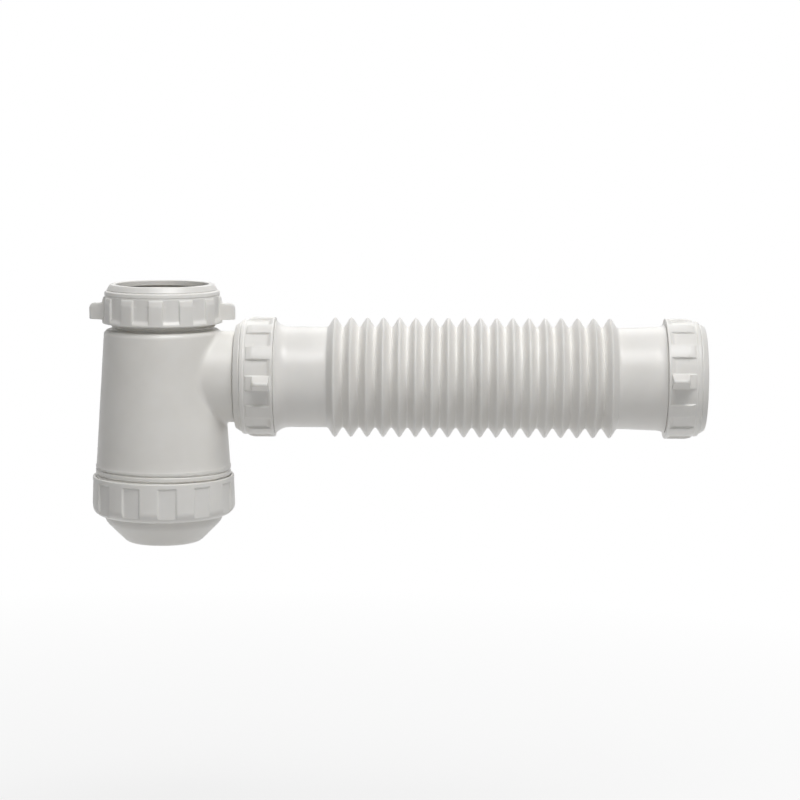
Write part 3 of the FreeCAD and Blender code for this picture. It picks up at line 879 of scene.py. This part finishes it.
def base_nut(name):
    """The large ribbed nut round the base of the bottle, with its rounded lower edge."""
    rim = BASE_NUT_RIM_Z
    recess_high = rim - BASE_RECESS_MARGIN
    seat = BASE_NUT_FACE_Z + BASE_NUT_END_WALL
    thread_low = seat + BASE_NUT_THREAD_START
    top = rounded([
        (BASE_NUT_RIM_R, rim - 0.6, 0),
        (BASE_NUT_RIM_R, rim, 0.4),
        (BASE_NUT_BORE_R, rim, 0.3),
        (BASE_NUT_BORE_R, rim - 0.6, 0),
    ], closed=False)
    bore = np.arange(rim - THREAD_MARGIN, thread_low, -THREAD_ROW)
    inner = rounded([
        (BASE_NUT_BORE_R, thread_low - 0.4, 0),
        (BASE_NUT_BORE_R, seat, 0.3),
        (BASE_NUT_HOLE_R, seat, 0.3),
        (BASE_NUT_HOLE_R, seat - 1, 0),
    ], closed=False)
    outside = base_nut_outside(BASE_NUT_FACE_Z + BASE_NUT_ROUND, recess_high)
    rows, slices = joined(outside, top, [(BASE_NUT_BORE_R, height) for height in bore], inner)
    outer, threaded = slices[0], slices[2]
    angles = base_nut_angles()
    radii = np.repeat(rows[:, :1], len(angles), 1)

    along = soft_inside(recess_high - rows[outer, 1], BASE_RECESS_END_SOFTNESS)
    off = np.abs((np.degrees(angles) - BASE_RECESS_TURN + RECESS_STEP / 2) % RECESS_STEP - RECESS_STEP / 2)
    depth = np.maximum(radii[outer] - BASE_RECESS_R, 0)
    radii[outer] -= along[:, None] * soft_inside(BASE_RECESS_WIDTH / 2 - off, RECESS_SOFTNESS) * depth
    rise = run_in(bore, rim - THREAD_MARGIN, thread_low, 1.2)
    groove = 1 - narrow_groove(base_turns(bore, angles))
    radii[threaded] -= (BASE_THREAD_DEPTH - THREAD_PLAY) * groove * rise
    return grid_object(name, round_grid(radii, rows[:, 1], angles))


def cup_side(inset):
    """Corners of the bowl's outside below its flange, moved in by inset, down to its middle."""
    radius = CUP_R - inset
    bottom = CUP_BOTTOM_Z + inset
    lower_round = CUP_LOWER_ROUND - inset
    corner = CUP_FLAT_R + lower_round * math.tan(CUP_SLOPE / 2)
    return [
        (radius, bottom + (radius - corner) * math.tan(CUP_SLOPE), CUP_UPPER_ROUND - inset),
        (corner, bottom, lower_round),
        (0, bottom, 0),
    ]


def cup(name):
    """The bowl with its flange, open at the top."""
    under = CUP_TOP_Z - FLANGE_THICKNESS
    inner_edge = (CUP_R - CUP_WALL, CUP_TOP_Z, 0.3)
    flange_edge = (FLANGE_R, CUP_TOP_Z, 0.3)
    outside = [flange_edge, (FLANGE_R, under, 0.3), (CUP_R, under, 0.3)] + cup_side(0)
    inner = rounded(cup_side(CUP_WALL)[::-1] + [inner_edge, flange_edge], closed=False)[:-1]
    outer = rounded([inner_edge] + outside, closed=False)[1:]
    rows = np.concatenate([divided(inner, closed=False), divided(outer, closed=False)])
    return grid_object(name, round_grid(rows[:, 0], rows[:, 1], even_angles()), closed=False)


def dip_tube(name):
    """The tube inside the bottle, with its wider head."""
    head_end = TUBE_TOP_Z - TUBE_HEAD_LENGTH
    cone_end = head_end - TUBE_CONE_LENGTH
    return lathe(name, [
        (TUBE_HEAD_R - TUBE_WALL, TUBE_TOP_Z, 0.3),
        (TUBE_HEAD_R, TUBE_TOP_Z, 0.3),
        (TUBE_HEAD_R, head_end, 1.5),
        (TUBE_R, cone_end, 1.5),
        (TUBE_R, TUBE_END_Z, 0.4),
        (TUBE_R - TUBE_WALL, TUBE_END_Z, 0.4),
        (TUBE_R - TUBE_WALL, cone_end, 1.5),
        (TUBE_HEAD_R - TUBE_WALL, head_end, 1.5),
    ], longest=3.0)


def flat_ring(name, outer, inner, top, bottom, rounding, place=None):
    """A ring with a flat top and bottom."""
    return lathe(name, [
        (outer, top, rounding),
        (inner, top, rounding),
        (inner, bottom, rounding),
        (outer, bottom, rounding),
    ], place)


def slip_ring(name, place):
    """The thin ring under the end wall of a nut."""
    top = -NUT_END_WALL - 0.1
    return flat_ring(name, RING_R, RING_HOLE_R, top, top - RING_THICKNESS, 0.25, place)


def cone_seal(name, place):
    """The rubber seal with its cone in the mouth of the socket."""
    top = -NUT_END_WALL - 0.2 - RING_THICKNESS
    under = top - SEAL_FLANGE_THICKNESS
    tip = top - SEAL_LENGTH
    return lathe(name, [
        (SEAL_HOLE_R, top, 0.2),
        (SEAL_FLANGE_R, top, 0.2),
        (SEAL_FLANGE_R, under, 0.2),
        (SEAL_CONE_R, under, 0.15),
        (SEAL_CONE_R, top - SEAL_CONE_START, 0.2),
        (SEAL_TIP_R, tip, 0.15),
        (SEAL_HOLE_R, tip, 0.15),
    ], place)


def gasket(name):
    """The flat rubber ring under the rim of the bottle."""
    return flat_ring(name, GASKET_R, GASKET_HOLE_R, GASKET_TOP_Z, GASKET_BOTTOM_Z, 0.4)


class Nodes:
    """Adds shader nodes to a material or world and links them by name."""

    def __init__(self, owner):
        owner.use_nodes = True
        self.tree = owner.node_tree
        self.tree.nodes.clear()

    def add(self, kind, values=None, links=None, **settings):
        """A node with its socket values and the outputs that its sockets take."""
        node = self.tree.nodes.new(kind)
        for key, value in settings.items():
            setattr(node, key, value)
        for key, value in (values or {}).items():
            node.inputs[key].default_value = value
        for key, output in (links or {}).items():
            self.tree.links.new(output, node.inputs[key])
        return node


def ramp(nodes, factor, stops):
    """A colour ramp from (place, colour) stops."""
    node = nodes.add("ShaderNodeValToRGB", links={"Fac": factor})
    for element, (place, colour) in zip(node.color_ramp.elements, stops):
        element.position = place
        element.color = (*colour, 1)
    return node.outputs["Color"]


def noise(nodes, spot, scale, detail, **more):
    """The value of a noise texture in the object's own space."""
    values = {"Scale": scale, "Detail": detail, **more}
    return nodes.add("ShaderNodeTexNoise", values, {"Vector": spot}).outputs["Fac"]


def bumped(nodes, height, strength, distance, **more):
    """The normal of a surface with this height as fine relief."""
    values = {"Strength": strength, "Distance": distance}
    return nodes.add("ShaderNodeBump", values, {"Height": height, **more}).outputs["Normal"]


def moulded_plastic(name, tones, gloss, subsurface=0.12):
    """Moulded plastic: slight clouds of colour, fine skin, faint flow marks and scuffs in the gloss."""
    pale, deep = tones
    material = bpy.data.materials.new(name)
    nodes = Nodes(material)
    spot = nodes.add("ShaderNodeTexCoord").outputs["Object"]
    clouds = noise(nodes, spot, 38.0, 3.0, Roughness=0.55)
    skin = noise(nodes, spot, 900.0, 2.0)
    waves = noise(nodes, spot, 95.0, 1.0, Distortion=0.4)
    scuffs = noise(nodes, spot, 210.0, 6.0, Roughness=0.7)
    rough = nodes.add(
        "ShaderNodeMapRange",
        {"From Min": 0.35, "From Max": 0.7, "To Min": gloss - 0.03, "To Max": gloss + 0.08},
        {"Value": scuffs},
    )
    fine = bumped(nodes, skin, 0.10, 0.00006)
    surface = nodes.add("ShaderNodeBsdfPrincipled", {
        "IOR": 1.49,
        "Subsurface Weight": subsurface,
        "Subsurface Radius": (1.0, 0.9, 0.75),
        "Subsurface Scale": 0.002,
    }, {
        "Base Color": ramp(nodes, clouds, [(0.32, deep), (0.68, pale)]),
        "Roughness": rough.outputs["Result"],
        "Normal": bumped(nodes, waves, 0.25, 0.00025, Normal=fine),
    })
    nodes.add("ShaderNodeOutputMaterial", links={"Surface": surface.outputs["BSDF"]})
    return material


def rubber(name):
    """Dull black rubber with a faint grain."""
    pale, deep = RUBBER_BLACK
    material = bpy.data.materials.new(name)
    nodes = Nodes(material)
    spot = nodes.add("ShaderNodeTexCoord").outputs["Object"]
    grain = noise(nodes, spot, 700.0, 3.0)
    surface = nodes.add("ShaderNodeBsdfPrincipled", {"Roughness": 0.55}, {
        "Base Color": ramp(nodes, grain, [(0.3, deep), (0.75, pale)]),
        "Normal": bumped(nodes, grain, 0.3, 0.0001),
    })
    nodes.add("ShaderNodeOutputMaterial", links={"Surface": surface.outputs["BSDF"]})
    return material


def build_rigid_pieces():
    """Makes every piece but the pipe, puts it on its body and gives it its material."""
    white = moulded_plastic("white_plastic", WHITE, 0.34)
    nut_white = moulded_plastic("nut_plastic", NUT_WHITE, 0.33)
    ring_white = moulded_plastic("ring_plastic", RING_WHITE, 0.4, subsurface=0.3)
    black = rubber("black_rubber")
    inlet = upright(INLET_FACE_Z)
    raised = upright(INLET_FACE_Z + TOP_NUT_LIFT)
    coupling = laid(COUPLING_FACE_X, -1)
    outlet = laid(OUTLET_FACE_X, 1)
    made = [
        (bottle("bottle"), "trap_body", "bottle_plastic", white),
        (dip_tube("inner_tube"), "dip_tube", "bottle_plastic", white),
        (cup("bowl"), "base_cup", "bottle_plastic", white),
        (base_nut("bowl_nut"), "base_nut", "nut_plastic", nut_white),
        (gasket("bowl_gasket"), "base_gasket", "seal_rubber", black),
    ]
    nuts = [
        (compression_nut("top_nut", raised, 0, NUT_LENGTH - TOP_NUT_SHORTER, TOP_NUT_LIFT), "inlet_nut"),
        (compression_nut("side_nut", coupling, 90), "coupling_nut"),
        (compression_nut("end_nut", outlet, 90 - OUTLET_NUT_TURN), "outlet_nut"),
    ]
    made += [(nut, node, "nut_plastic", nut_white) for nut, node in nuts]
    sockets = [("top", "inlet", inlet), ("side", "coupling", coupling), ("end", "outlet", outlet)]
    for side, joint, place in sockets:
        made.append((slip_ring(f"{side}_ring", place), f"{joint}_slip_ring", "ring_plastic", ring_white))
    for side, joint, place in sockets:
        made.append((cone_seal(f"{side}_seal", place), f"{joint}_cone_seal", "seal_rubber", black))
    for piece, node, slot, material in made:
        piece.data.materials.append(material)
        dress(piece, node)


def build_pipe():
    """Makes the two halves of the pipe in place of the frame's pipe."""
    pipe_white = moulded_plastic("pipe_plastic", PIPE_WHITE, 0.31)
    halves = [
        ("pipe_near_half", NEAR_END, ("trap", "pipe"), (FOLDS_START_X, SPLIT_X)),
        ("pipe_far_half", FAR_END, ("pipe", "outlet_end"), (SPLIT_X, FOLDS_END_X)),
    ]
    for name, pipe_end, bodies, reach in halves:
        piece = half_pipe(name, pipe_end)
        piece.data.materials.append(pipe_white)
        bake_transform(piece)
        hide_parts("flexible_pipe")


def seen_directly(nodes):
    """A factor that is 1 for rays from the camera and for mirrored or refracted ones."""
    path = nodes.add("ShaderNodeLightPath").outputs
    factor = path["Is Camera Ray"]
    for other in ("Is Glossy Ray", "Is Transmission Ray"):
        larger = nodes.add("ShaderNodeMath", links={0: factor, 1: path[other]}, operation="MAXIMUM")
        factor = larger.outputs[0]
    return factor


def floor():
    """A pale floor below the hanging part. It fades into the white background with distance."""
    bpy.ops.mesh.primitive_plane_add(size=FLOOR_SIDE, location=(0, 0, FLOOR_Z))
    plane = bpy.context.active_object
    plane.name = "floor"
    material = bpy.data.materials.new("pale_floor")
    nodes = Nodes(material)
    spot = nodes.add("ShaderNodeNewGeometry").outputs["Position"]
    distance = nodes.add("ShaderNodeVectorMath", links={0: spot}, operation="LENGTH").outputs["Value"]
    fade = nodes.add(
        "ShaderNodeMapRange",
        {"From Min": FLOOR_FADE[0], "From Max": FLOOR_FADE[1], "To Min": FLOOR_GLOW, "To Max": 1.0},
        {"Value": distance},
    ).outputs["Result"]
    share = nodes.add("ShaderNodeMath", links={0: seen_directly(nodes), 1: fade}, operation="MULTIPLY")
    matt = nodes.add("ShaderNodeBsdfDiffuse", {"Color": (0.9, 0.9, 0.9, 1)}).outputs[0]
    glow = nodes.add("ShaderNodeEmission", {"Color": (1, 1, 1, 1), "Strength": 1.0}).outputs[0]
    both = nodes.add("ShaderNodeMixShader", links={"Fac": share.outputs[0], 1: matt, 2: glow})
    nodes.add("ShaderNodeOutputMaterial", links={"Surface": both.outputs[0]})
    plane.data.materials.append(material)


def surroundings():
    """A world that looks white and lights the part softly."""
    world = bpy.data.worlds.new("studio")
    bpy.context.scene.world = world
    nodes = Nodes(world)
    white = nodes.add("ShaderNodeBackground", {"Color": (1, 1, 1, 1), "Strength": 1.0}).outputs[0]
    dim = nodes.add("ShaderNodeBackground", {"Color": WORLD_COLOUR, "Strength": WORLD_LEVEL}).outputs[0]
    both = nodes.add("ShaderNodeMixShader", links={"Fac": seen_directly(nodes), 1: dim, 2: white})
    nodes.add("ShaderNodeOutputWorld", links={"Surface": both.outputs[0]})


def lamp(name, place, size, energy):
    """A soft square lamp that faces the middle of the part."""
    data = bpy.data.lights.new(name, "AREA")
    data.shape = "SQUARE"
    data.size = size
    data.energy = energy
    thing = bpy.data.objects.new(name, data)
    bpy.context.scene.collection.objects.link(thing)
    thing.location = place
    direction = Vector(LAMP_AIM) - Vector(place)
    thing.rotation_euler = direction.to_track_quat("-Z", "Y").to_euler()


def lights():
    """The main lamp high to the right, one high in front, and weak ones overhead and behind."""
    lamp("right_lamp", (0.68, -0.69, 1.53), 0.7, 12.3)
    lamp("front_lamp", (0.1, -0.69, 0.95), 0.5, 5.0)
    lamp("overhead_lamp", (0.1, -0.02, 1.07), 0.9, 1.6)
    lamp("back_lamp", (0.1, 0.9, 0.8), 0.7, 2.6)


def camera():
    """The camera at the photograph's view."""
    data = bpy.data.cameras.new("camera")
    data.lens = CAMERA_LENS
    data.sensor_width = 36.0
    data.clip_start, data.clip_end = 0.01, 200.0
    thing = bpy.data.objects.new("camera", data)
    bpy.context.scene.collection.objects.link(thing)
    turn, lift = math.radians(CAMERA_AZIMUTH), math.radians(CAMERA_ELEVATION)
    back = Vector((math.sin(turn) * math.cos(lift), -math.cos(turn) * math.cos(lift), math.sin(lift)))
    right = (-back).cross(Vector((0, 0, 1))).normalized()
    up = right.cross(-back)
    roll = math.radians(CAMERA_ROLL)
    side = right * math.cos(roll) + up * math.sin(roll)
    above = up * math.cos(roll) - right * math.sin(roll)
    axes = Matrix((side, above, back)).transposed().to_4x4()
    thing.matrix_world = Matrix.Translation(Vector(CAMERA_TARGET) + back * CAMERA_DISTANCE) @ axes
    bpy.context.scene.camera = thing


build_rigid_pieces()
build_pipe()
floor()
surroundings()
lights()
camera()
bpy.context.scene.view_settings.view_transform = "Standard"
